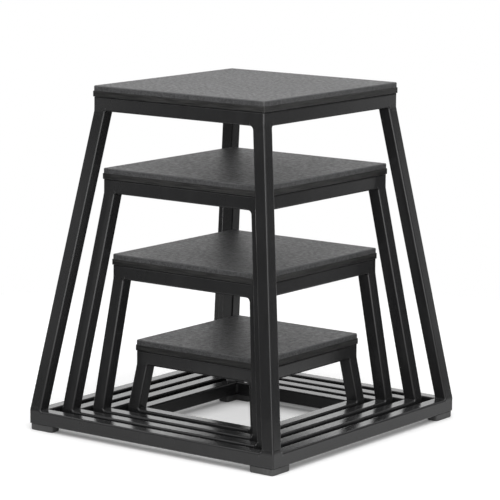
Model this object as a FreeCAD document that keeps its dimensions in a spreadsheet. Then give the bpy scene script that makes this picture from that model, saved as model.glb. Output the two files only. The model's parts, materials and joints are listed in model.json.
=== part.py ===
import FreeCAD, Part
import math
import os
import Sketcher

# A nested set of four open steel plyo boxes, in millimetres.
# The frame is +Z up with its origin on the floor under the middle of the tallest box.
# Front is -Y, right is +X. Each box is a welded frame of square tube: a mitred base ring on
# rubber corner feet, four legs that lean inwards and a mitred top ring that carries the deck.
# Width is along X and depth along Y. Every smaller box takes its sizes from the room inside
# the next larger one and from two gaps, so that the set still nests when a size changes.

doc = FreeCAD.newDocument("plyo_box_set")

# Driving dimensions, one named cell each
SIZES = (
    ("tube_size", 24, "outer width of the square tube"),
    ("tube_wall", 1.5, "wall of the square tube"),
    ("tube_radius", 3, "outer corner radius of the square tube"),
    ("tube_bore_radius", 1.5, "corner radius inside the square tube"),
    ("board_thickness", 10, "plywood deck board"),
    ("board_overhang", 1, "board beyond the outer face of the top ring"),
    ("board_corner", 1.5, "corner radius of the board in plan"),
    ("board_edge", 0.8, "rounding of the board's edges"),
    ("mat_thickness", 9, "rubber mat on the board"),
    ("mat_inset", 0.8, "mat short of the board's edge"),
    ("mat_corner", 3, "corner radius of the mat in plan"),
    ("mat_edge", 2, "rounding of the mat's upper edge"),
    ("foot_height", 11, "corner foot under the base ring"),
    ("foot_inset", 1, "foot short of the tube's outer and inner faces"),
    ("foot_arm", 49, "length of each arm of the foot"),
    ("foot_edge", 2.5, "rounding of the foot's lower edge"),
    ("foot_corner", 5, "corner radius of the foot in plan"),
    ("foot_screw_setback", 15, "foot screw from the free end of the arm"),
    ("foot_screw_reach", 4, "foot screw beyond the tube wall"),
    ("head_sink", 2.6, "foot screw's head above the underside of the foot"),
    ("deck_screw_setback", 60, "deck screw from the corner of the top ring"),
    ("deck_screw_cover", 3, "wood left above the deck screw"),
    ("screw_diameter", 4, "shank of the deck and foot screws"),
    ("screw_tip", 2, "length of the pointed tip"),
    ("head_rim", 2, "pan head beyond the shank, all round"),
    ("head_height", 2.4, "pan head of the screws"),
    ("head_crown", 1, "bevel round the top of the pan head"),
    ("hole_clearance", 0.4, "screw holes over the screw diameter"),
    ("recess_clearance", 1, "foot recess over the head diameter"),
    ("access_clearance", 3, "driver's hole over the head diameter"),
    ("box60_height", 600, "floor to the top of the mat, tallest box"),
    ("box60_frame_width", 361.5, "outside of its top ring"),
    ("box60_frame_depth", 391, "outside of its top ring"),
    ("box60_base_width", 524, "outside of its base ring"),
    ("box60_base_depth", 544, "outside of its base ring"),
    ("box45_height", 458, "floor to the top of the mat, second box"),
    ("box45_base_gap", 15.5, "its base ring to the ring around it"),
    ("box45_deck_gap", 3, "its board to the legs around it"),
    ("box45_shift_x", 1.5, "to the right of the middle of the box around it"),
    ("box45_shift_y", -1.5, "to the back of the middle of the box around it"),
    ("box30_height", 308, "floor to the top of the mat, third box"),
    ("box30_base_gap", 13.5, "its base ring to the ring around it"),
    ("box30_deck_gap", 2, "its board to the legs around it"),
    ("box30_shift_x", -0.5, "to the right of the middle of the box around it"),
    ("box30_shift_y", 1, "to the back of the middle of the box around it"),
    ("box15_height", 156, "floor to the top of the mat, lowest box"),
    ("box15_base_gap", 16, "its base ring to the ring around it"),
    ("box15_deck_gap", 13.5, "its board to the legs around it"),
    ("box15_shift_x", 4, "to the right of the middle of the box around it"),
    ("box15_shift_y", 3, "to the back of the middle of the box around it"),
)
sheet = doc.addObject("Spreadsheet::Sheet", "Sizes")
for row, (alias, size, meaning) in enumerate(SIZES, start=1):
    sheet.set(f"A{row}", meaning)
    sheet.set(f"B{row}", str(size))
    sheet.setAlias(f"B{row}", alias)

# Sizes of each box that follow from the driving ones
BOXES = ("box60", "box45", "box30", "box15")
layout = doc.addObject("Spreadsheet::Sheet", "Layout")
worked_out = []


def work_out(alias, formula):
    """Add a cell with a formula to the second sheet."""
    worked_out.append(alias)
    cell = f"B{len(worked_out)}"
    layout.set(f"A{len(worked_out)}", alias)
    layout.set(cell, f"={formula}")
    layout.setAlias(cell, alias)


for box, outer in zip(BOXES, (None,) + BOXES):
    work_out(f"{box}_deck_underside", f"Sizes.{box}_height - Sizes.mat_thickness - Sizes.board_thickness")
    work_out(f"{box}_leg_rise", f"{box}_deck_underside - 2 * Sizes.tube_size - Sizes.foot_height")
    for axis, way in (("x", "width"), ("y", "depth")):
        if outer is None:
            base = f"Sizes.{box}_base_{way}"
            frame = f"Sizes.{box}_frame_{way}"
            middle = "0"
        else:
            board_top = f"(Sizes.{box}_height - Sizes.mat_thickness)"
            drop = f"({outer}_deck_underside - Sizes.tube_size - {board_top}) / {outer}_leg_rise"
            spread = f"({outer}_base_{way} - {outer}_frame_{way}) * {drop}"
            room = f"({outer}_frame_{way} + {spread} - 2 * Sizes.tube_size)"
            base = f"{outer}_base_{way} - 2 * (Sizes.tube_size + Sizes.{box}_base_gap)"
            frame = f"{room} - 2 * (Sizes.{box}_deck_gap + Sizes.board_overhang)"
            middle = f"{outer}_middle_{axis} + Sizes.{box}_shift_{axis}"
        work_out(f"{box}_base_{way}", base)
        work_out(f"{box}_frame_{way}", frame)
        work_out(f"{box}_middle_{axis}", middle)
doc.recompute()

TUBE = "Sizes.tube_size"
HEAD = "(Sizes.screw_diameter + 2 * Sizes.head_rim)"
SCREW_HOLE = "(Sizes.screw_diameter + Sizes.hole_clearance)"
RECESS = "(Sizes.head_height + Sizes.head_sink)"
RAIL_PAIRS = ("front_back", "left_right")
RAIL_SIDES = ("front", "right", "back", "left")
LEG_CORNERS = (
    ("front_left", "-", "-"),
    ("front_right", "", "-"),
    ("back_right", "", ""),
    ("back_left", "-", ""),
)
UP = FreeCAD.Vector(0, 0, 1)
nodes = []


def value(expression):
    """The number that an expression of the sheets' cells gives now."""
    return float(sheet.evalExpression(expression))


def new_body(box, name, quarters=0):
    """An empty body that stands where the box stands, turned about its axis by quarter turns."""
    body = doc.addObject("PartDesign::Body", f"{box}_{name}")
    body.Label = f"{box}_{name}"
    body.AllowCompound = True
    body.Placement = FreeCAD.Placement(FreeCAD.Vector(), FreeCAD.Rotation(UP, 90 * quarters))
    body.setExpression("Placement.Base.x", f"Layout.{box}_middle_x")
    body.setExpression("Placement.Base.y", f"Layout.{box}_middle_y")
    nodes.append(body)
    return body


def origin_part(body, role):
    """One of the body's own origin planes or axes."""
    return next(item for item in body.Origin.OriginFeatures if item.Role == role)


def new_sketch(body, plane, x="0", y="0", z="0"):
    """A sketch on an origin plane, with its own origin moved by x, y and z of the sketch."""
    sketch = body.newObject("Sketcher::SketchObject", f"{body.Label}_sketch")
    sketch.AttachmentSupport = [(origin_part(body, plane), "")]
    sketch.MapMode = "FlatFace"
    for axis, expression in (("x", x), ("y", y), ("z", z)):
        if expression != "0":
            sketch.setExpression(f"AttachmentOffset.Base.{axis}", expression)
    return sketch


def set_datum(sketch, constraint, expression):
    """Add a dimension to the sketch and bind it to the sheets."""
    index = sketch.addConstraint(constraint)
    sketch.setExpression(f"Constraints[{index}]", expression)


def place_point(sketch, geometry, point, x, y):
    """Fix a point of the sketch at x, y from the sketch's origin."""
    if x == "0":
        sketch.addConstraint(Sketcher.Constraint("PointOnObject", geometry, point, -2))
    else:
        set_datum(sketch, Sketcher.Constraint("DistanceX", -1, 1, geometry, point, value(x)), x)
    if y == "0":
        sketch.addConstraint(Sketcher.Constraint("PointOnObject", geometry, point, -1))
    else:
        set_datum(sketch, Sketcher.Constraint("DistanceY", -1, 1, geometry, point, value(y)), y)


def add_outline(sketch, points):
    """A closed outline of straight lines through points given as pairs of expressions."""
    corners = [FreeCAD.Vector(value(x), value(y), 0) for x, y in points]
    lines = []
    for start, end in zip(corners, corners[1:] + corners[:1]):
        lines.append(sketch.addGeometry(Part.LineSegment(start, end)))
    for line, following in zip(lines, lines[1:] + lines[:1]):
        sketch.addConstraint(Sketcher.Constraint("Coincident", line, 2, following, 1))
    for line, (x, y) in zip(lines, points):
        place_point(sketch, line, 1, x, y)


def add_circle(sketch, x, y, diameter):
    """A circle with its middle at x, y."""
    centre = FreeCAD.Vector(value(x), value(y), 0)
    circle = sketch.addGeometry(Part.Circle(centre, UP, value(diameter) / 2))
    place_point(sketch, circle, 3, x, y)
    set_datum(sketch, Sketcher.Constraint("Diameter", circle, value(diameter)), diameter)


def add_rounded_rectangle(sketch, width, depth, radius):
    """A rectangle with round corners about the sketch's origin."""
    half_x = value(width) / 2
    half_y = value(depth) / 2
    bend = value(radius)
    middles = [FreeCAD.Vector(side_x * (half_x - bend), side_y * (half_y - bend), 0)
               for side_x, side_y in ((1, -1), (1, 1), (-1, 1), (-1, -1))]
    lines = []
    arcs = []
    for turn in range(4):
        outwards = FreeCAD.Rotation(UP, 90 * turn).multVec(FreeCAD.Vector(0, -bend, 0))
        line = Part.LineSegment(middles[turn - 1] + outwards, middles[turn] + outwards)
        circle = Part.Circle(middles[turn], UP, bend)
        arc = Part.ArcOfCircle(circle, math.radians(90 * turn - 90), math.radians(90 * turn))
        lines.append(sketch.addGeometry(line))
        arcs.append(sketch.addGeometry(arc))
    for turn in range(4):
        sketch.addConstraint(Sketcher.Constraint("Tangent", lines[turn], 2, arcs[turn], 1))
        sketch.addConstraint(Sketcher.Constraint("Tangent", arcs[turn - 1], 2, lines[turn], 1))
        direction = "Horizontal" if turn % 2 == 0 else "Vertical"
        sketch.addConstraint(Sketcher.Constraint(direction, lines[turn]))
    for arc in arcs[1:]:
        sketch.addConstraint(Sketcher.Constraint("Equal", arcs[0], arc))
    sketch.addConstraint(Sketcher.Constraint("Symmetric", arcs[0], 3, arcs[2], 3, -1, 1))
    set_datum(sketch, Sketcher.Constraint("Radius", arcs[0], bend), radius)
    across = Sketcher.Constraint("DistanceX", lines[3], 1, lines[1], 1, 2 * half_x)
    set_datum(sketch, across, width)
    along = Sketcher.Constraint("DistanceY", lines[0], 1, lines[2], 1, 2 * half_y)
    set_datum(sketch, along, depth)


def add_tube_section(sketch):
    """The section of the square tube: a rounded square with a smaller one inside it."""
    bore = f"{TUBE} - 2 * Sizes.tube_wall"
    add_rounded_rectangle(sketch, TUBE, TUBE, "Sizes.tube_radius")
    add_rounded_rectangle(sketch, bore, bore, "Sizes.tube_bore_radius")


def add_pad(body, sketch, length, both_ways=False):
    """Thicken a sketch along its normal."""
    pad = body.newObject("PartDesign::Pad", f"{body.Label}_pad")
    pad.Profile = sketch
    pad.SideType = "Symmetric" if both_ways else "One side"
    pad.setExpression("Length", length)
    doc.recompute()
    return pad


def add_pocket(body, sketch, side_type="One side", upwards=False):
    """Cut a sketch through all of the body on one side of its plane, or on both."""
    before = body.Shape.Volume
    pocket = body.newObject("PartDesign::Pocket", f"{body.Label}_pocket")
    pocket.Profile = sketch
    pocket.Type = "ThroughAll"
    pocket.Type2 = "ThroughAll"
    pocket.SideType = side_type
    pocket.Reversed = upwards
    doc.recompute()
    if body.Shape.Volume >= before:
        raise RuntimeError(f"{body.Label}: a pocket cut nothing")


def add_fillet(body, feature, direction, radius):
    """Round the edges of the flat faces that lie furthest along a direction."""
    level = {}
    for index, face in enumerate(feature.Shape.Faces, start=1):
        if face.normalAt(0, 0).dot(direction) > 0.999:
            level[f"Face{index}"] = face.CenterOfMass.dot(direction)
    furthest = [name for name, distance in level.items() if math.isclose(distance, max(level.values()))]
    fillet = body.newObject("PartDesign::Fillet", f"{body.Label}_fillet")
    fillet.Base = (feature, furthest)
    fillet.setExpression("Radius", radius)
    doc.recompute()
    return fillet


def add_upright_fillet(body, feature, corners, radius):
    """Round the upright edges that stand at corners, given in plan as pairs of expressions."""
    places = [FreeCAD.Vector(value(x), value(y), 0) for x, y in corners]
    edges = []
    for index, edge in enumerate(feature.Shape.Edges, start=1):
        upright = abs(edge.tangentAt(edge.FirstParameter).dot(UP)) > 0.999
        foot = edge.CenterOfMass - UP * edge.CenterOfMass.z
        if upright and any(foot.isEqual(place, 0.001) for place in places):
            edges.append(f"Edge{index}")
    if len(edges) != len(places):
        raise RuntimeError(f"{body.Label}: {len(edges)} edges found at {len(places)} corners")
    fillet = body.newObject("PartDesign::Fillet", f"{body.Label}_corners")
    fillet.Base = (feature, edges)
    fillet.setExpression("Radius", radius)
    doc.recompute()
    return fillet


def add_opposite_copy(body):
    """Repeat all of the body half a turn about the box's axis."""
    pattern = body.newObject("PartDesign::PolarPattern", f"{body.Label}_copies")
    pattern.TransformMode = "Whole shape"
    pattern.Axis = (origin_part(body, "Z_Axis"), [""])
    pattern.Angle = 360
    pattern.Occurrences = 2
    body.Tip = pattern
    doc.recompute()


def ring_sides(box, ring, quarters):
    """A rail's own length and the size of its ring across the rail, for a rail that is turned."""
    width = f"Layout.{box}_{ring}_width"
    depth = f"Layout.{box}_{ring}_depth"
    return (width, depth) if quarters % 2 == 0 else (depth, width)


def tube_line(across):
    """Distance of a rail's middle line from the box's axis."""
    return f"({across} - {TUBE}) / 2"


def deck_screw_place(length):
    """Distance of a deck screw from the middle of its rail."""
    return f"({length} / 2 - Sizes.deck_screw_setback)"


def foot_screw_place(length):
    """Distance of a foot screw from the middle of its rail."""
    return f"({length} / 2 - Sizes.foot_inset - Sizes.foot_arm + Sizes.foot_screw_setback)"


def add_corner_offcut(sketch, sign, length, across):
    """What is ground off outside a corner of a ring: a square less a quarter of a circle."""
    radius = "Sizes.tube_radius"
    near, end, far = (f"{sign}({length} / 2 {step})" for step in (f"- {radius}", "", f"+ {radius}"))
    before, front, behind = (f"-({across} / 2 {step})" for step in (f"+ {radius}", "", f"- {radius}"))
    points = ((near, front), (near, before), (far, before), (far, behind), (end, behind))
    corners = [FreeCAD.Vector(value(x), value(y), 0) for x, y in points]
    lines = [sketch.addGeometry(Part.LineSegment(start, stop)) for start, stop in zip(corners, corners[1:])]
    for line, following in zip(lines, lines[1:]):
        sketch.addConstraint(Sketcher.Constraint("Coincident", line, 2, following, 1))
    for line, (x, y) in zip(lines, points):
        place_point(sketch, line, 1, x, y)
    place_point(sketch, lines[-1], 2, *points[-1])
    circle = Part.Circle(FreeCAD.Vector(value(near), value(behind), 0), UP, value(radius))
    first, last = (180, 270) if sign else (270, 360)
    arc = sketch.addGeometry(Part.ArcOfCircle(circle, math.radians(first), math.radians(last)))
    at_front, at_end = (2, 1) if sign else (1, 2)
    sketch.addConstraint(Sketcher.Constraint("Coincident", arc, at_front, lines[0], 1))
    sketch.addConstraint(Sketcher.Constraint("Coincident", arc, at_end, lines[-1], 2))
    set_datum(sketch, Sketcher.Constraint("Radius", arc, value(radius)), radius)


def add_mitred_rail(body, length, across, middle_height):
    """The front rail of a ring of tube, mitred at the ring's corners, which are ground round."""
    section = new_sketch(body, "YZ_Plane", x=f"-{tube_line(across)}", y=middle_height)
    add_tube_section(section)
    add_pad(body, section, length, both_ways=True)
    mitres = new_sketch(body, "XY_Plane")
    for sign in ("", "-"):
        outside = f"{sign}({length} / 2 + {TUBE})"
        inside = f"{sign}({length} / 2 - 2 * {TUBE})"
        front = f"-({across} / 2 + {TUBE})"
        back = f"-({across} / 2 - 2 * {TUBE})"
        add_outline(mitres, ((outside, front), (outside, back), (inside, back)))
    add_pocket(body, mitres, side_type="Symmetric")
    offcuts = new_sketch(body, "XY_Plane")
    for sign in ("", "-"):
        add_corner_offcut(offcuts, sign, length, across)
    add_pocket(body, offcuts, side_type="Symmetric")


def add_rail_holes(body, place, across, middle_height, diameter, upwards):
    """A hole towards each end of the front rail, through its upper or its lower wall alone."""
    holes = new_sketch(body, "XY_Plane", z=middle_height)
    for sign in ("", "-"):
        add_circle(holes, f"{sign}{place}", f"-{tube_line(across)}", diameter)
    add_pocket(body, holes, upwards=upwards)


def make_base_rails(box):
    """The base ring: two pairs of mitred rails, with holes under them for the foot screws."""
    middle_height = f"(Sizes.foot_height + {TUBE} / 2)"
    for quarters, name in enumerate(RAIL_PAIRS):
        body = new_body(box, f"base_rails_{name}", quarters)
        length, across = ring_sides(box, "base", quarters)
        add_mitred_rail(body, length, across, middle_height)
        add_rail_holes(body, foot_screw_place(length), across, middle_height, SCREW_HOLE, upwards=False)
        add_opposite_copy(body)


def make_top_rails(box):
    """The top ring: four mitred rails, each with two screw holes and the driver's holes below."""
    middle_height = f"(Layout.{box}_deck_underside - {TUBE} / 2)"
    driver_hole = f"({HEAD} + Sizes.access_clearance)"
    for quarters, name in enumerate(RAIL_SIDES):
        body = new_body(box, f"top_rail_{name}", quarters)
        length, across = ring_sides(box, "frame", quarters)
        place = deck_screw_place(length)
        add_mitred_rail(body, length, across, middle_height)
        add_rail_holes(body, place, across, middle_height, SCREW_HOLE, upwards=True)
        add_rail_holes(body, place, across, middle_height, driver_hole, upwards=False)


def make_legs(box):
    """Four tubes that lean from the corners of the base ring to the corners of the top ring."""
    rise = f"Layout.{box}_leg_rise"
    lean_x = f"(Layout.{box}_base_width - Layout.{box}_frame_width) / 2"
    lean_y = f"(Layout.{box}_base_depth - Layout.{box}_frame_depth) / 2"
    for name, side_x, side_y in LEG_CORNERS:
        body = new_body(box, f"leg_{name}")
        corner_x = f"{side_x}{tube_line(f'Layout.{box}_base_width')}"
        corner_y = f"{side_y}{tube_line(f'Layout.{box}_base_depth')}"
        section = new_sketch(body, "XY_Plane", x=corner_x, y=corner_y, z=f"Sizes.foot_height + {TUBE}")
        add_tube_section(section)
        pad = add_pad(body, section, rise)
        pad.UseCustomVector = True
        pad.AlongSketchNormal = True
        inwards_x = lean_x if side_x else f"-{lean_x}"
        inwards_y = lean_y if side_y else f"-{lean_y}"
        for axis, part in (("x", inwards_x), ("y", inwards_y), ("z", rise)):
            pad.setExpression(f"Direction.{axis}", part)
        doc.recompute()


def make_board(box):
    """The plywood deck, with blind holes from below for the deck screws."""
    width = f"Layout.{box}_frame_width"
    depth = f"Layout.{box}_frame_depth"
    underside = f"Layout.{box}_deck_underside"
    body = new_body(box, "deck_board")
    plan = new_sketch(body, "XY_Plane", z=underside)
    overhang = "2 * Sizes.board_overhang"
    add_rounded_rectangle(plan, f"{width} + {overhang}", f"{depth} + {overhang}", "Sizes.board_corner")
    pad = add_pad(body, plan, "Sizes.board_thickness")
    rounded = add_fillet(body, pad, UP, "Sizes.board_edge")
    add_fillet(body, rounded, -UP, "Sizes.board_edge")
    holes = new_sketch(body, "XY_Plane", z=f"{underside} + Sizes.board_thickness - Sizes.deck_screw_cover")
    for side in ("", "-"):
        for end in ("", "-"):
            add_circle(holes, f"{end}{deck_screw_place(width)}", f"{side}{tube_line(depth)}", SCREW_HOLE)
            add_circle(holes, f"{side}{tube_line(width)}", f"{end}{deck_screw_place(depth)}", SCREW_HOLE)
    add_pocket(body, holes)


def make_mat(box):
    """The rubber mat on the board, with a rounded upper edge."""
    body = new_body(box, "mat")
    plan = new_sketch(body, "XY_Plane", z=f"Layout.{box}_deck_underside + Sizes.board_thickness")
    beyond = "2 * (Sizes.board_overhang - Sizes.mat_inset)"
    width = f"Layout.{box}_frame_width + {beyond}"
    depth = f"Layout.{box}_frame_depth + {beyond}"
    add_rounded_rectangle(plan, width, depth, "Sizes.mat_corner")
    pad = add_pad(body, plan, "Sizes.mat_thickness")
    add_fillet(body, pad, UP, "Sizes.mat_edge")


def make_feet(box):
    """Four angle-shaped rubber feet with round corners and a recessed screw hole in both arms."""
    width = f"Layout.{box}_base_width"
    depth = f"Layout.{box}_base_depth"
    body = new_body(box, "feet")
    plan = new_sketch(body, "XY_Plane")
    arm_width = f"({TUBE} - 2 * Sizes.foot_inset)"
    front = f"(Sizes.foot_inset - {depth} / 2)"
    round_corners = []
    for sign in ("", "-"):
        outer = f"({width} / 2 - Sizes.foot_inset)"
        inner = f"{sign}({outer} - {arm_width})"
        end = f"{sign}({outer} - Sizes.foot_arm)"
        outside = [
            (inner, f"{front} + Sizes.foot_arm"),
            (f"{sign}{outer}", f"{front} + Sizes.foot_arm"),
            (f"{sign}{outer}", front),
            (end, front),
            (end, f"{front} + {arm_width}"),
        ]
        add_outline(plan, outside + [(inner, f"{front} + {arm_width}")])
        round_corners.extend(outside)
    pad = add_pad(body, plan, "Sizes.foot_height")
    rounded = add_upright_fillet(body, pad, round_corners, "Sizes.foot_corner")
    add_fillet(body, rounded, -UP, "Sizes.foot_edge")
    for diameter, upwards in ((SCREW_HOLE, True), (f"({HEAD} + Sizes.recess_clearance)", False)):
        holes = new_sketch(body, "XY_Plane", z=RECESS)
        for sign in ("", "-"):
            add_circle(holes, f"{sign}{foot_screw_place(width)}", f"-{tube_line(depth)}", diameter)
            add_circle(holes, f"{sign}{tube_line(width)}", f"-{foot_screw_place(depth)}", diameter)
        add_pocket(body, holes, upwards=upwards)
    add_opposite_copy(body)


def add_screw(body, x, y, seat, length):
    """A pan-head screw pointing up, with the underside of its head at the height seat."""
    profile = new_sketch(body, "XZ_Plane", x=x, y=seat, z=f"-({y})")
    shank = "Sizes.screw_diameter / 2"
    head = f"{HEAD} / 2"
    add_outline(profile, (
        ("0", "-Sizes.head_height"),
        (f"{head} - Sizes.head_crown", "-Sizes.head_height"),
        (head, "Sizes.head_crown - Sizes.head_height"),
        (head, "0"),
        (shank, "0"),
        (shank, f"{length} - Sizes.screw_tip"),
        ("0", length),
    ))
    screw = body.newObject("PartDesign::Revolution", f"{body.Label}_turned")
    screw.Profile = profile
    screw.ReferenceAxis = (profile, ["V_Axis"])
    screw.Angle = 360
    doc.recompute()


def make_screws(box, name, ring, place, seat, length):
    """Two screws on the middle line of each rail of a ring, at place from the rail's middle."""
    width = f"Layout.{box}_{ring}_width"
    depth = f"Layout.{box}_{ring}_depth"
    body = new_body(box, name)
    for sign in ("", "-"):
        add_screw(body, f"{sign}{place(width)}", f"-{tube_line(depth)}", seat, length)
        add_screw(body, f"-{tube_line(width)}", f"{sign}{place(depth)}", seat, length)
    add_opposite_copy(body)


for box in BOXES:
    make_base_rails(box)
    make_legs(box)
    make_top_rails(box)
    make_board(box)
    make_mat(box)
    make_feet(box)
    rubber = f"(Sizes.foot_height - {RECESS})"
    make_screws(box, "foot_screws", "base", foot_screw_place, RECESS,
                f"({rubber} + Sizes.tube_wall + Sizes.foot_screw_reach)")
    bite = "(Sizes.board_thickness - Sizes.deck_screw_cover)"
    make_screws(box, "deck_screws", "frame", deck_screw_place,
                f"(Layout.{box}_deck_underside - Sizes.tube_wall)", f"(Sizes.tube_wall + {bite})")
doc.recompute()

# Nothing is written unless every object of the document is sound
for item in doc.Objects:
    if "Invalid" in item.State or "Error" in item.State:
        raise RuntimeError(f"{item.Label} failed: {item.State}")
for node in nodes:
    if node.Shape.isNull() or not node.Shape.isValid():
        raise RuntimeError(f"{node.Label} has no valid shape")

os.makedirs("parts", exist_ok=True)
for node in nodes:
    node.Shape.exportStep(f"parts/{node.Label}.step")
    print(f"{node.Label}: {len(node.Shape.Solids)} solids, {node.Shape.Volume:.0f} mm3")
print(f"{len(nodes)} nodes written")
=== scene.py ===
# %% [markdown]
# A nested set of four plyo boxes: welded stands of black square tube, each with a plywood
# deck, a rubber mat and rubber feet. The solids of the set come ready made, so this lesson
# only adds what solids lack: the finishes, the welds and a small studio around it.

# %% Load the solids and keep their size
import json
import math

import bpy
import numpy as np
from mathutils import Matrix, Vector

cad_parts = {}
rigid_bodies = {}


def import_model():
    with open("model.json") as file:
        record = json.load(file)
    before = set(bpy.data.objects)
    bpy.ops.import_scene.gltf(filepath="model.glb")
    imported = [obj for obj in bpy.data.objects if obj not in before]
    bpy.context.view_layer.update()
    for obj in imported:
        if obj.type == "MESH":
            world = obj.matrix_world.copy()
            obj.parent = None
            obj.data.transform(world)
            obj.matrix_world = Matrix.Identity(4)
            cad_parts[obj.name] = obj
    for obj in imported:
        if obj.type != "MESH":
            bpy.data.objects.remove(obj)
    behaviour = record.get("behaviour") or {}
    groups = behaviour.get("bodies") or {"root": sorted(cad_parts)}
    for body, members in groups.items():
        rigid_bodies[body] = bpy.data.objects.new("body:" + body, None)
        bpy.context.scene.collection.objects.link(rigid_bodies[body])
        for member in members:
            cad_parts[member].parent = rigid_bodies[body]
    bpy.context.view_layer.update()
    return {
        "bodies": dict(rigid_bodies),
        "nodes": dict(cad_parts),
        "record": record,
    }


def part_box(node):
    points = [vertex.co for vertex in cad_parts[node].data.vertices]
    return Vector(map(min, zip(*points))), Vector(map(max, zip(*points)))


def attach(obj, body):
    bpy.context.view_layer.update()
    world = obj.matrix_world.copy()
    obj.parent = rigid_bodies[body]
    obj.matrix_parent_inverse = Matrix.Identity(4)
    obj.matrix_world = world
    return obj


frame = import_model()

# %% [markdown]
# The photograph was taken from far away with a long lens, so the legs hardly converge. The
# camera stands on a line from the set with a known direction and distance, and its focal
# length is given in pixels of a 500 pixel frame, which is how it was measured. A camera can
# be aimed with a constraint, but a matrix of its own three axes says the same in one line
# and takes in the slight roll of the picture.

# %% Camera
AZIMUTH = math.radians(36.55)
ELEVATION = math.radians(9.726)
ROLL = math.radians(0.547)
DISTANCE = 4.590
AIM_RIGHT = 0.00787
AIM_UP = 0.3092
FOCAL_PIXELS = 2634.1
FRAME_PIXELS = 500
SENSOR_MM = 36.0


def camera_axes(azimuth, elevation, roll):
    """Right, up and backward axes: a turn about Z, a rise by the elevation, then the roll."""
    right = Vector((math.cos(azimuth), math.sin(azimuth), 0))
    back = Vector((math.sin(azimuth) * math.cos(elevation),
                   -math.cos(azimuth) * math.cos(elevation), math.sin(elevation)))
    up = back.cross(right)
    rolled_right = right * math.cos(roll) + up * math.sin(roll)
    rolled_up = up * math.cos(roll) - right * math.sin(roll)
    return right, rolled_right, rolled_up, back


level_right, axis_right, axis_up, axis_back = camera_axes(AZIMUTH, ELEVATION, ROLL)
lens = bpy.data.cameras.new("studio_camera")
lens.sensor_width = SENSOR_MM
lens.lens = SENSOR_MM * FOCAL_PIXELS / FRAME_PIXELS
lens.clip_end = 50
camera = bpy.data.objects.new("studio_camera", lens)
turn = Matrix((axis_right, axis_up, axis_back)).transposed().to_4x4()
aim = level_right * AIM_RIGHT + Vector((0, 0, AIM_UP))
camera.matrix_world = Matrix.Translation(aim + axis_back * DISTANCE) @ turn
bpy.context.scene.collection.objects.link(camera)
bpy.context.scene.camera = camera
bpy.context.scene.view_settings.view_transform = "Standard"
stand = [round(c, 3) for c in camera.matrix_world.translation]
print("camera at", stand, "with a lens of", round(lens.lens, 1), "mm")

# %% [markdown]
# Every finish below is a graph of nodes. A few short helpers keep the graphs readable: one
# adds a node and sets or links its inputs, the next ones are the steps that come up again
# and again, and the last two open and place a node group. A group is worth it where several
# finishes share an effect, because a change then shows on all of them.

# %% Helpers for node graphs
def feed(tree, made, inputs):
    """Link each input that is a socket, and set any other value."""
    for name, source in inputs.items():
        if isinstance(source, bpy.types.NodeSocket):
            tree.links.new(source, made.inputs[name])
        else:
            made.inputs[name].default_value = source
    return made


def add(tree, kind, inputs=None, **settings):
    """A new node with its settings and inputs."""
    made = tree.nodes.new(kind)
    for name, setting in settings.items():
        setattr(made, name, setting)
    return feed(tree, made, inputs or {})


def calculate(tree, operation, first, second=0.0):
    """The result of one arithmetic step on two values or sockets."""
    return add(tree, "ShaderNodeMath", {0: first, 1: second}, operation=operation).outputs[0]


def multiply(tree, first, second):
    """The product of two values or sockets."""
    return calculate(tree, "MULTIPLY", first, second)


def total(tree, *terms):
    """The sum of values, each given with its weight."""
    weighted = [multiply(tree, source, weight) for source, weight in terms]
    result = weighted[0]
    for term in weighted[1:]:
        result = calculate(tree, "ADD", result, term)
    return result


def spread(tree, source, low, high, to_low=0.0, to_high=1.0):
    """Stretch the range low to high of a value to another range, and clip it there."""
    limits = {"From Min": low, "From Max": high, "To Min": to_low, "To Max": to_high}
    return add(tree, "ShaderNodeMapRange", {"Value": source, **limits}).outputs["Result"]


def blend(tree, mask, first, second):
    """A value between two others, by a mask."""
    return add(tree, "ShaderNodeMix", {"Factor": mask, "A": first, "B": second}).outputs["Result"]


def tint(tree, mask, dark, light):
    """A colour between two others, by a mask."""
    stops = {"Factor": mask, "A": (*dark, 1.0), "B": (*light, 1.0)}
    return add(tree, "ShaderNodeMix", stops, data_type="RGBA").outputs["Result"]


def noise(tree, vector, scale, detail=3.0, roughness=0.5):
    """Soft random clouds with about scale cells in a metre."""
    settings = {"Vector": vector, "Scale": scale, "Detail": detail, "Roughness": roughness}
    return add(tree, "ShaderNodeTexNoise", settings).outputs["Fac"]


def stretched(tree, vector, scale):
    """Coordinates multiplied along each axis, which draws a pattern out along the small ones."""
    return add(tree, "ShaderNodeMapping", {"Vector": vector, "Scale": scale}).outputs["Vector"]


def upward(tree, vector):
    """The part of a vector along Z."""
    return add(tree, "ShaderNodeSeparateXYZ", {"Vector": vector}).outputs["Z"]


def along(tree, vector, direction):
    """The part of a vector along a level direction of length 1."""
    pair = {0: vector, 1: direction}
    return add(tree, "ShaderNodeVectorMath", pair, operation="DOT_PRODUCT").outputs["Value"]


def seen_directly(tree, ray):
    """1 for rays that come from the camera, also those through clear surfaces, else 0."""
    return calculate(tree, "MAXIMUM", ray["Is Camera Ray"], ray["Is Transmission Ray"])


def new_group(name, inputs, outputs):
    """An empty shader node group with named sockets, and its input and output nodes."""
    group = bpy.data.node_groups.new(name, "ShaderNodeTree")
    for socket, kind in inputs:
        group.interface.new_socket(socket, in_out="INPUT", socket_type=kind)
    for socket in outputs:
        group.interface.new_socket(socket, in_out="OUTPUT", socket_type="NodeSocketFloat")
    return group, group.nodes.new("NodeGroupInput").outputs, group.nodes.new("NodeGroupOutput")


def place(tree, group, inputs):
    """A group used in a material, with this material's own values."""
    return feed(tree, add(tree, "ShaderNodeGroup", node_tree=group), inputs).outputs


VECTOR = "NodeSocketVector"
NUMBER = "NodeSocketFloat"
print("helpers ready")

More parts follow.
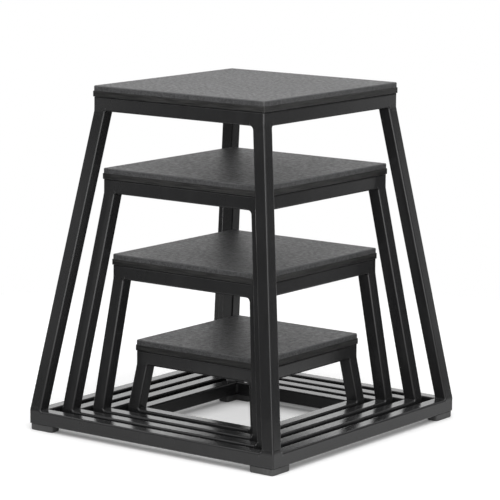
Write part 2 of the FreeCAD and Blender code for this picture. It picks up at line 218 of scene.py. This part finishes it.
# %% [markdown]
# Nothing in a gym stays evenly clean. Hands and shoes polish broad soft patches, and fine
# dust settles on whatever faces up. Both are masks of clouds, so they are groups: a finish
# decides for itself how much lighter, duller or smoother a mask makes it.

# %% Groups for rubbed patches and dust
rubbed, given, end = new_group("rubbed_patches", (("Vector", VECTOR), ("Size", NUMBER)), ("Mask",))
cells = calculate(rubbed, "DIVIDE", 1.0, given["Size"])
broad = noise(rubbed, given["Vector"], cells)
drawn = stretched(rubbed, given["Vector"], (1.0, 1.0, 0.25))
streaks = noise(rubbed, drawn, multiply(rubbed, cells, 5.0), 5.0, 0.65)
polished = spread(rubbed, broad, 0.4, 0.7)
brushed = spread(rubbed, streaks, 0.3, 0.75)
rubbed.links.new(multiply(rubbed, polished, brushed), end.inputs["Mask"])

dust, given, end = new_group("settled_dust", (("Vector", VECTOR), ("Normal", VECTOR)), ("Mask",))
facing_up = spread(dust, upward(dust, given["Normal"]), 0.6, 1.0)
specks = spread(dust, noise(dust, given["Vector"], 900.0, 2.0), 0.55, 0.8)
film = spread(dust, noise(dust, given["Vector"], 18.0, 4.0), 0.3, 0.8)
layer = total(dust, (specks, 0.6), (film, 0.4))
dust.links.new(multiply(dust, facing_up, layer), end.inputs["Mask"])
print("groups:", [group.name for group in bpy.data.node_groups])

# %% [markdown]
# Every finish starts with the same coordinates and ends with the same three links: colour,
# roughness and a bump. Two helpers do that, so a finish's own cell holds only what is
# special about it. The coordinates are those of the piece, so a pattern moves with it.


# %% Helpers that start and close a finish
def new_finish(name):
    """A material, its tree, and the coordinates and normals of the piece's own space."""
    finish = bpy.data.materials.new(name)
    finish.use_nodes = True
    space = finish.node_tree.nodes.new("ShaderNodeTexCoord").outputs
    return finish, finish.node_tree, space["Object"], space["Normal"]


def close_finish(slot, finish, colour, roughness, surface, depth):
    """Link colour, roughness and a bump of depth metres for a height of 0 to 1."""
    tree = finish.node_tree
    bump = add(tree, "ShaderNodeBump", {"Height": surface, "Distance": depth, "Strength": 1.0})
    inputs = {"Base Color": colour, "Roughness": roughness, "Normal": bump.outputs["Normal"]}
    finishes[slot] = finish
    print("made", finish.name)
    return feed(tree, tree.nodes["Principled BSDF"], inputs)


finishes = {}

# %% [markdown]
# The tubes are powder coated. The powder melts into a satin skin that is never quite flat:
# a fine orange peel of millimetre waves breaks up reflections. The colour is close to black,
# except on faces that point up, where a paler tone is partly settled dust and partly a
# painted sheen that lightens the tops of the tubes. Elsewhere nearly all that shows is
# reflection, and the peel and the changes of roughness matter more than the colour.

# %% Powder coat on the tubes
COAT_BLACK = (0.0155, 0.0155, 0.016)
COAT_DUST_AND_PAINTED_SHEEN = (0.09, 0.09, 0.091)
PEEL_DEPTH = 0.00004
coat, tree, where, normal = new_finish("black_powder_coat")
worn = place(tree, rubbed, {"Vector": where, "Size": 0.12})["Mask"]
dusty = place(tree, dust, {"Vector": where, "Normal": normal})["Mask"]
waves = noise(tree, where, 150.0, 2.0, 0.5)
skin = total(tree, (noise(tree, where, 520.0, 2.0, 0.45), 0.45), (waves, 0.55))
# Faces that point up turn paler: partly settled dust, partly a painted sheen on the tube tops.
black = tint(tree, total(tree, (worn, 0.1), (dusty, 0.9)), COAT_BLACK, COAT_DUST_AND_PAINTED_SHEEN)
satin = total(tree, (spread(tree, waves, 0.3, 0.7, 0.18, 0.23), 1.0), (worn, 0.05))
close_finish("coated_steel", coat, black, satin, skin, PEEL_DEPTH)

# %% [markdown]
# The deck board is plywood with a thin coat of black paint. The paint fills the faces but
# sinks into the cut edges, where the grain shows as long pale streaks and the plies as faint
# level lines. The streaks are a noise drawn out along the edge. The lines come from the
# height of the point alone, made a little crooked by a slow noise, as a saw leaves them.

# %% Painted plywood on the deck boards
PLY = 0.00143
PAINT_BLACK = (0.0012, 0.0012, 0.0011)
PAINT_THIN = (0.0240, 0.0234, 0.0226)
STREAK_DEPTH = 0.0003
ply, tree, where, normal = new_finish("painted_plywood")
crooked = noise(tree, stretched(tree, where, (14.0, 14.0, 60.0)), 1.0)
layers = total(tree, (upward(tree, where), 1.0 / PLY), (crooked, 1.6))
veneers = calculate(tree, "PINGPONG", layers, 1.0)
streak = noise(tree, stretched(tree, where, (22.0, 22.0, 380.0)), 1.0, 4.0, 0.65)
cut = spread(tree, calculate(tree, "ABSOLUTE", upward(tree, normal)), 0.9, 0.4)
grained = total(tree, (spread(tree, streak, 0.42, 0.62), 0.75), (veneers, 0.25))
lines = multiply(tree, grained, cut)
paint = tint(tree, lines, PAINT_BLACK, PAINT_THIN)
sheen = spread(tree, streak, 0.3, 0.8, 0.42, 0.64)
relief = total(tree, (lines, 1.0), (streak, 0.4))
close_finish("painted_plywood", ply, paint, sheen, relief, STREAK_DEPTH)

# %% [markdown]
# The mat is rubber sheet with a fine pebbled face, like leather. Pebbles are cells of
# uneven size with rounded tops, which a smooth Voronoi gives. Blotches of some millimetres,
# where the sheet was pressed a little harder, keep it from looking machine flat. They are
# strong on the face and faint on the cut sides. The rounded edge round the face is paler,
# partly from the scuffing of feet and partly as a painted highlight along the rim, and the
# lean of the surface tells where that edge is.

# %% Pebbled rubber on the mats
PEBBLES_PER_METRE = 430.0
CREASES_PER_METRE = 260.0
BLOTCHES_PER_METRE = 150.0
RUBBER_BLACK = (0.021, 0.021, 0.0217)
RUBBER_PALE = (0.083, 0.083, 0.085)
PEBBLE_DEPTH = 0.0006
mat, tree, where, normal = new_finish("pebbled_rubber_mat")
cells = {"Vector": where, "Scale": PEBBLES_PER_METRE, "Smoothness": 0.5, "Randomness": 1.0}
pebbles = add(tree, "ShaderNodeTexVoronoi", cells, feature="SMOOTH_F1").outputs["Distance"]
creases = noise(tree, where, CREASES_PER_METRE, 3.0, 0.6)
blotches = spread(tree, noise(tree, where, BLOTCHES_PER_METRE, 4.0, 0.66), 0.32, 0.68)
worn = place(tree, rubbed, {"Vector": where, "Size": 0.09})["Mask"]
dusty = place(tree, dust, {"Vector": where, "Normal": normal})["Mask"]
domes = calculate(tree, "SUBTRACT", 1.0, pebbles)
grain = total(tree, (domes, 0.6), (creases, 0.25), (blotches, 0.15))
lean = upward(tree, normal)
# The rounded rim round the face is paler: partly scuffing, partly a painted highlight along the
# edge.
edge = multiply(tree, spread(tree, lean, 0.1, 0.4), spread(tree, lean, 0.99, 0.9))
contrast = spread(tree, lean, 0.9, 0.99, 0.2, 0.85)
mottled = multiply(tree, total(tree, (blotches, 1.0), (1.0, -0.5)), contrast)
tops = spread(tree, grain, 0.4, 0.75)
fine = spread(tree, creases, 0.3, 0.7)
marks = total(tree, (tops, 0.6), (dusty, 0.3), (mottled, 1.0), (fine, 0.3))
shade = total(tree, (marks, 1.0), (edge, 0.9), (1.0, 0.175))
grey = tint(tree, shade, RUBBER_BLACK, RUBBER_PALE)
matt = spread(tree, creases, 0.3, 0.7, 0.50, 0.60)
dull = total(tree, (matt, 1.0), (worn, -0.05), (blotches, -0.16))
rubber = close_finish("rubber_mat", mat, grey, dull, grain, PEBBLE_DEPTH)
rubber.inputs["Specular IOR Level"].default_value = 0.37

# %% [markdown]
# The feet are moulded from plain rubber: a dull, slightly grainy skin with the bloom that
# rubber sweats out, seen as paler clouds.

# %% Moulded rubber on the feet
FOOT_BLACK = (0.055, 0.055, 0.055)
FOOT_BLOOM = (0.094, 0.094, 0.094)
FOOT_DEPTH = 0.0002
foot, tree, where, _ = new_finish("moulded_rubber_feet")
bloom = place(tree, rubbed, {"Vector": where, "Size": 0.03})["Mask"]
fine = noise(tree, where, 1400.0, 2.0)
pale = tint(tree, bloom, FOOT_BLACK, FOOT_BLOOM)
dull = spread(tree, fine, 0.3, 0.7, 0.55, 0.75)
close_finish("rubber_feet", foot, pale, dull, fine, FOOT_DEPTH)

# %% [markdown]
# The screws are zinc plated. Plating is a thin bright metal with a cloudy grey cast and the
# turning marks of the head under it.

# %% Zinc plate on the screws
ZINC_GREY = (0.36, 0.36, 0.37)
ZINC_BRIGHT = (0.56, 0.56, 0.58)
TURNING_DEPTH = 0.00006
zinc, tree, where, _ = new_finish("zinc_plate")
cast = tint(tree, noise(tree, where, 420.0, 4.0), ZINC_GREY, ZINC_BRIGHT)
turned = noise(tree, stretched(tree, where, (3200.0, 3200.0, 600.0)), 1.0, 2.0)
gloss = spread(tree, turned, 0.3, 0.7, 0.28, 0.46)
plate = close_finish("screw_steel", zinc, cast, gloss, turned, TURNING_DEPTH)
plate.inputs["Metallic"].default_value = 1.0

# %% [markdown]
# The record of the part names a material slot for every solid, so the finishes needn't be
# handed out by hand: each solid takes the one made for its slot.

# %% Give every solid the finish of its slot
for entry in frame["record"]["subparts"]:
    solid = frame["nodes"][entry["node"]]
    solid.data.materials.clear()
    solid.data.materials.append(finishes[entry["material_slot"]])

# %% [markdown]
# The tubes are welded, and the outer welds are ground flush before coating, so that no seam
# shows on the outer faces. A collar lies over the outer faces of a leg's end and fills the
# groove beside the ring's rounded edge. A web fills the angle between the leg's inner side
# and the ring with a hollow curve, and carries the tube's rounded edge round the corner. A
# bead closes the inner corner of each ring. Each is a closed shell: a grid of points and a
# second grid a little deeper in the steel, joined along the rim.

# %% Shells
TUBE = 0.024
EDGE = 0.003
DEEP = 0.0008
PROUD = 0.00018
SINK = 0.00006


def shell(front, back):
    """Vertices and quads of a closed sheet between two grids of points, facing the first."""
    rows, columns = front.shape[:2]
    count = rows * columns
    index = np.arange(count).reshape(rows, columns)
    corners = (index[:-1, :-1], index[:-1, 1:], index[1:, 1:], index[1:, :-1])
    face = np.stack(corners, axis=-1).reshape(-1, 4)
    rim = np.concatenate((index[0, :-1], index[:-1, -1], index[-1, :0:-1], index[:0:-1, 0]))
    following = np.roll(rim, -1)
    skirt = np.stack((following, rim, rim + count, following + count), axis=-1)
    points = np.concatenate((front.reshape(-1, 3), back.reshape(-1, 3)))
    corner = points[face]
    facing = np.cross(corner[:, 1] - corner[:, 0], corner[:, 3] - corner[:, 0])
    quads = np.concatenate((face, face[:, ::-1] + count, skirt))
    outwards = np.sum(facing * (corner[:, 0] - points[face[:, 0] + count])) > 0
    return points, quads if outwards else quads[:, ::-1]


def smooth_step(x, low, high):
    """0 below low, 1 above high and a smooth rise between them."""
    s = np.clip((x - low) / (high - low), 0.0, 1.0)
    return s * s * (3 - 2 * s)


print("tube", TUBE, "with edges of", EDGE)


# %% The flush collar
COLLAR_MM = (-5.5, -4.5, -3.5, -2.5, 0.0, 2.5, 4.5, 6.5, 8.0)


def collar(corner, side, lean, up):
    """A thin sheet over the two outer faces of a leg's end and of the ring beside it.

    With t the height from the joint towards the leg and q from -1 to 1 round the outer
    corner, the point runs along one face, round a quarter circle and along the other face.
    It leans with the leg where t is above 0. It is raised by PROUD times 1 less q to the
    eighth times 1 less e to the fourth, less SINK, with e from -1 to 1 over the heights.
    """
    t = np.array(COLLAR_MM)[:, None] / 1000
    q = np.linspace(-1.0, 1.0, 49)[None, :]
    eighth = EDGE * np.pi / 4
    distance = np.abs(q) * (TUBE - 2 * EDGE + eighth)
    angle = np.pi / 4 + np.sign(q) * np.minimum(distance, eighth) / EDGE
    run = np.maximum(distance - eighth, 0.0)
    normal = np.stack((side[0] * np.sin(angle), side[1] * np.cos(angle), 0 * angle), axis=-1)
    path = np.stack((-side[0] * run * (q < 0), -side[1] * run * (q > 0), 0 * run), axis=-1)
    over = up * np.maximum(t, 0.0)
    rise = np.stack((lean[0] * over, lean[1] * over, up * t), axis=-1)
    e = 2 * (t - t.min()) / (t.max() - t.min()) - 1
    lift = PROUD * (1 - q ** 8) * (1 - e ** 4) - SINK
    middle = np.array((corner[0] - side[0] * EDGE, corner[1] - side[1] * EDGE, corner[2]))
    ground = middle + path + rise
    return shell(ground + normal * (EDGE + lift)[..., None], ground + normal * (EDGE - DEEP))


print("collar", len(collar((0, 0, 0), (1, -1), (-0.1, 0.1), 1)[0]), "vertices")

# %% The web
PUDDLE = 0.0026
RIPPLE = 0.0001
ROUND = 0.0028
FAR_END = TUBE - 0.002
STRIP_DEPTH = (0.0075, 0.006, 0.0045)
STRIP_BEHIND = (0.0001, -SINK, -SINK)


def web(corner, side, lean, up, axis, radius):
    """A hollow fillet between a leg's inner side and the ring, with a rounded outer edge.

    u runs from the leg to the ring along a quadratic curve whose ends lie radius away from
    the angle and whose middle point lies a twelfth of that out of it. For each u a section
    goes over a flat strip in the outer face, round a quarter circle and back along the
    fillet, where it ripples with the puddles of the weld and narrows at the far end. In the
    section p is the depth under the fillet and q the distance behind the outer face.
    """
    across = 1 - axis
    u = np.linspace(0.0, 1.0, 13)[:, None]
    ring = np.array((-side[axis], 0.0))
    leg = np.array((lean[axis] * up, up))
    curve = (1 - u) ** 2 * leg + 2 * u * (1 - u) * (ring + leg) / 12 + u ** 2 * ring
    tangent = -2 * (1 - u) * leg + 2 * (1 - 2 * u) * (ring + leg) / 12 + 2 * u * ring
    outwards = np.stack((-tangent[:, 1], tangent[:, 0]), axis=-1)
    outwards *= np.sign(outwards @ (ring + leg))[:, None]
    outwards /= np.linalg.norm(outwards, axis=1, keepdims=True)
    bend = np.linspace(0.0, np.pi / 2, 8)
    wall = np.linspace(0.0036, FAR_END, 22)
    ripple = RIPPLE * np.cos(2 * np.pi * wall / PUDDLE) * smooth_step(wall, 0.005, 0.009)
    p = np.concatenate((STRIP_DEPTH, ROUND * (1 - np.sin(bend)), ripple))
    rounded = ROUND * (1 - np.cos(bend)) - SINK * np.cos(bend)
    q = np.concatenate((STRIP_BEHIND, rounded, wall))
    size = radius * (1 - 0.5 * smooth_step(q, 0.018, FAR_END))
    under = p + 0.00008 * np.abs(2 * u - 1) ** 6

    def points_at(depth, behind):
        """Points of the web at depths under the fillet and distances behind the face."""
        flat = size[None, :, None] * curve[:, None, :] - outwards[:, None, :] * depth[..., None]
        points = np.empty(flat.shape[:2] + (3,))
        points[..., axis] = corner[axis] - side[axis] * TUBE + flat[..., 0]
        leaning = lean[across] * up * np.maximum(up * flat[..., 1], 0.0)
        points[..., across] = corner[across] + leaning - side[across] * behind
        points[..., 2] = corner[2] + flat[..., 1]
        return points

    return shell(points_at(under, q), points_at(under + DEEP, q + DEEP))


print("web", len(web((0, 0, 0), (1, -1), (-0.1, 0.1), 1, 0, 0.005)[0]), "vertices")


# %% The bead in a ring's corner
def bead(first, last, wall_a, wall_b, leg):
    """A rippled fillet from first to last in the angle of two walls.

    With s along the joint and u across it, the point is the joint plus size(s) times a
    quadratic curve from one wall to the other whose middle point lies a fifth of the way
    out. The size is leg times one wave per puddle times a smooth fade at both ends.
    """
    s = np.linspace(0.0, 1.0, 40)
    u = np.linspace(0.0, 1.0, 9)[:, None]
    length = np.linalg.norm(last - first)
    fade = 0.25 + 0.75 * smooth_step(np.minimum(s, 1 - s) * length, 0.0, 0.6 * leg)
    size = leg * fade * (1 + 0.05 * np.cos(2 * np.pi * s * length / PUDDLE))
    curve = (1 - u) ** 2 * wall_a + 0.4 * u * (1 - u) * (wall_a + wall_b) + u ** 2 * wall_b
    middle = (first + np.outer(s, last - first))[:, None, :]
    front = middle + size[:, None, None] * curve[None, :, :] - SINK * (wall_a + wall_b)
    back = middle + 0.1 * (front - middle) - DEEP / 2 * (wall_a + wall_b)
    return shell(front, back)


print("puddles of", PUDDLE)

# %% [markdown]
# Each box has four corners, and each corner has a collar and two webs at both ends of the
# leg and a bead in the inner angle of each ring. Their places come from the solids, so that
# they stay right if a box is made in another size. A welder never lays two alike, and in
# the photograph the web to the left of the near leg is the largest.

# %% Where the welds of one box lie
CORNERS = {"front_left": (-1, -1), "front_right": (1, -1),
           "back_right": (1, 1), "back_left": (-1, 1)}
WEBS = {"front_left": (0.0026, 0.0036), "front_right": (0.0062, 0.0036),
        "back_right": (0.0036, 0.0026), "back_left": (0.0030, 0.0034)}
RING_WELD = 0.0034


def ring_box(box, ring):
    """Lowest and highest corners of a ring, from its rails."""
    rails = [name for name in frame["nodes"] if name.startswith(f"{box}_{ring}_rail")]
    corners = np.array([[list(corner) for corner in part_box(name)] for name in rails])
    return corners[:, 0].min(axis=0), corners[:, 1].max(axis=0)


def welds_of(box):
    """Every shell of weld of a box, corner by corner."""
    shells = []
    rings = (ring_box(box, "base"), ring_box(box, "top"))
    for name, side in CORNERS.items():
        outer = [np.where(np.array((*side, 0)) > 0, high, low) for low, high in rings]
        lean = (outer[1] - outer[0]) / (rings[1][0][2] - rings[0][1][2])
        walls = (np.array((-side[0], 0.0, 0.0)), np.array((0.0, -side[1], 0.0)))
        for (low, high), corner, up in zip(rings, outer, (1, -1)):
            joint = np.array((corner[0], corner[1], high[2] if up > 0 else low[2]))
            shells.append(collar(joint, side, lean, up))
            shells.extend(web(joint, side, lean, up, axis, WEBS[name][axis]) for axis in (0, 1))
            inner = corner[:2] - np.array(side) * TUBE
            ends = (np.array((*inner, low[2] + EDGE)), np.array((*inner, high[2] - EDGE)))
            shells.append(bead(*ends, *walls, RING_WELD))
    return shells


print("welds of the tallest box:", len(welds_of("box60")))


# %% Welds of the four boxes
def mesh_of(name, shells):
    """One smooth mesh of many shells."""
    offsets = np.cumsum([0] + [len(points) for points, _ in shells[:-1]])
    points = np.concatenate([points for points, _ in shells])
    quads = np.concatenate([quads + offset for offset, (_, quads) in zip(offsets, shells)])
    mesh = bpy.data.meshes.new(name)
    mesh.from_pydata(points.tolist(), [], quads.tolist())
    mesh.shade_smooth()
    mesh.update()
    return mesh


for box in frame["bodies"]:
    name = f"{box}_welds"
    welds = bpy.data.objects.new(name, mesh_of(name, welds_of(box)))
    welds.data.materials.append(finishes["coated_steel"])
    bpy.context.scene.collection.objects.link(welds)
    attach(welds, box)
    print(name, len(welds.data.polygons), "faces")

# %% [markdown]
# The studio is a pale paper floor in a white surround. The floor takes the light of the
# lamps like paint and glows a little for the camera, so that it turns white away from the
# set and keeps the soft shadow under it. The glow is held back close to the feet, where
# little open sky is left, which paints a dark contact shade on the paper there. In
# reflections the paper darkens away from the set, apart from a painted pool of light in
# front of it and a painted brighter right side, where a lamp stands. That draws light lines
# on the lower edges of the tubes and keeps their faces dark.

# %% Floor
FLOOR_RADIUS = 1.3
FLOOR_SIDES = 96
PAPER_DARK = 0.77
PAPER_LIGHT = 0.81
PAPER_GLOW = 0.5
FADED_PAPER = 0.3
FRONT_POOL = 1.6
RIGHT_POOL = 0.2
CONTACT_REACH = 0.045
angles = np.linspace(0.0, 2 * np.pi, FLOOR_SIDES, endpoint=False)
circle = np.stack((np.cos(angles), np.sin(angles), np.zeros(FLOOR_SIDES)), axis=1)
rim = FLOOR_RADIUS * circle
floor_mesh = bpy.data.meshes.new("studio_floor")
floor_mesh.from_pydata(rim.tolist(), [], [list(range(FLOOR_SIDES))])
floor = bpy.data.objects.new("studio_floor", floor_mesh)
bpy.context.scene.collection.objects.link(floor)

paper = bpy.data.materials.new("studio_paper")
paper.use_nodes = True
tree = paper.node_tree
tree.nodes.clear()
ray = tree.nodes.new("ShaderNodeLightPath").outputs
spot = tree.nodes.new("ShaderNodeTexCoord").outputs["Object"]
away = add(tree, "ShaderNodeVectorMath", {0: spot}, operation="LENGTH").outputs["Value"]
to_camera = (math.sin(AZIMUTH), -math.cos(AZIMUTH), 0.0)
ahead = along(tree, spot, to_camera)
rightward = along(tree, spot, (1.0, 0.0, 0.0))
pale = spread(tree, noise(tree, spot, 40.0), 0.0, 1.0, PAPER_DARK, PAPER_LIGHT)
mirrored_away = multiply(tree, ray["Is Glossy Ray"], away)
faded = spread(tree, mirrored_away, 0.5, 0.75, 1.0, FADED_PAPER)
matt = add(tree, "ShaderNodeBsdfDiffuse", {"Color": multiply(tree, pale, faded)})
reach = {"Distance": CONTACT_REACH}
# Ambient occlusion dims the glow next to the parts: painted contact shade.
open_sky = add(tree, "ShaderNodeAmbientOcclusion", reach, samples=16).outputs["AO"]
# Painted pools of light that only reflections see, in front of the set and to its right.
lit_right = spread(tree, rightward, 0.0, 0.5)
lit_front = spread(tree, ahead, 0.5, 0.8)
pool = total(tree, (lit_right, RIGHT_POOL), (lit_front, FRONT_POOL))
mirrored = multiply(tree, ray["Is Glossy Ray"], pool)
seen = total(tree, (seen_directly(tree, ray), PAPER_GLOW), (mirrored, 1.0))
glow = add(tree, "ShaderNodeEmission", {"Strength": multiply(tree, seen, open_sky)})
both = add(tree, "ShaderNodeAddShader", {0: matt.outputs[0], 1: glow.outputs[0]})
add(tree, "ShaderNodeOutputMaterial", {"Surface": both.outputs[0]})
floor_mesh.materials.append(paper)
print("floor radius", FLOOR_RADIUS)

# %% [markdown]
# The surround is white for the camera. In reflections it has the parts of a studio: a white
# backdrop that stands low behind the set and makes the mats shine, a dark room to its sides,
# a lit wall and ground towards the camera that draw thin light lines on the rounded edges,
# and a white ceiling. Matt surfaces get a fill that is strongest from the front. A picture
# of a real studio could do the same, but a few smooth steps of direction are easier to set.

# %% Surround
DARK_ROOM = 0.05
FRONT_FILL = 1.1
SIDE_FILL = 0.35
OVERHEAD_FILL = 0.45
BACKDROP = 1.3
FRONT_WALL = 0.4
FRONT_GROUND = 2.4
OTHER_GROUND = 0.06
room = bpy.data.worlds.new("studio_surround")
room.use_nodes = True
bpy.context.scene.world = room
tree = room.node_tree
tree.nodes.clear()
ray = tree.nodes.new("ShaderNodeLightPath").outputs
direction = tree.nodes.new("ShaderNodeTexCoord").outputs["Generated"]
ahead = along(tree, direction, to_camera)
rise = upward(tree, direction)
front = spread(tree, ahead, 0.5, 0.85)
behind = spread(tree, ahead, -0.9, -0.3, BACKDROP, 0.0)
low = spread(tree, rise, 0.26, 0.44, 1.0, 0.25)
backdrop = multiply(tree, behind, low)
walls = total(tree, (backdrop, 1.0), (front, FRONT_WALL), (1.0, DARK_ROOM))
ceiling = spread(tree, rise, 0.42, 0.7)
lit_front = multiply(tree, spread(tree, rise, 0.2, 0.45), spread(tree, ahead, -0.1, 0.3))
below = spread(tree, rise, 0.0, -0.12)
ground = multiply(tree, below, total(tree, (front, FRONT_GROUND), (1.0, OTHER_GROUND)))
above = calculate(tree, "MAXIMUM", ceiling, lit_front)
mirror = calculate(tree, "ADD", calculate(tree, "MAXIMUM", walls, above), ground)
level = spread(tree, ahead, 0.0, 0.9, SIDE_FILL, FRONT_FILL)
high = spread(tree, rise, 0.3, 0.9)
fill = blend(tree, high, level, OVERHEAD_FILL)
lighting = blend(tree, ray["Is Glossy Ray"], fill, mirror)
strength = blend(tree, seen_directly(tree, ray), lighting, 1.0)
light = add(tree, "ShaderNodeBackground", {"Color": (1.0, 1.0, 1.0, 1.0), "Strength": strength})
add(tree, "ShaderNodeOutputWorld", {"Surface": light.outputs[0]})
print("surround:", DARK_ROOM, "in mirrors,", SIDE_FILL, "to", FRONT_FILL, "as fill")

# %% [markdown]
# Three large soft lamps and two small cards do the rest. One lamp hangs over the set and
# lays the shadow under it, one stands far to the right, so that the right faces of the tubes
# come out a tone lighter, and one near the camera lights the sides of the mats. Each card
# stands where the camera sees it mirrored in the outer face of one leg.

# %% Lamps
def softbox(name, spot, target, size, watts):
    """A square area lamp at a spot, facing a target."""
    lamp = bpy.data.lights.new(name, "AREA")
    lamp.shape = "SQUARE"
    lamp.size = size
    lamp.energy = watts
    holder = bpy.data.objects.new(name, lamp)
    holder.location = spot
    holder.rotation_euler = (Vector(target) - Vector(spot)).to_track_quat("-Z", "Y").to_euler()
    bpy.context.scene.collection.objects.link(holder)
    print(name, watts, "W")


softbox("overhead_softbox", (0.7, -0.9, 3.2), (0.0, 0.0, 0.0), 2.4, 48.0)
softbox("right_softbox", (3.2, 0.6, 1.6), (0.0, 0.0, 0.3), 1.8, 12.0)
softbox("front_softbox", (2.7, -3.6, 1.9), (0.0, 0.0, 0.35), 2.2, 50.0)
softbox("left_card", (-1.65, -1.66, 0.42), (-0.2, -0.2, 0.3), 0.6, 0.5)
softbox("right_card", (1.17, 2.07, 0.32), (0.2, 0.2, 0.3), 0.6, 0.5)
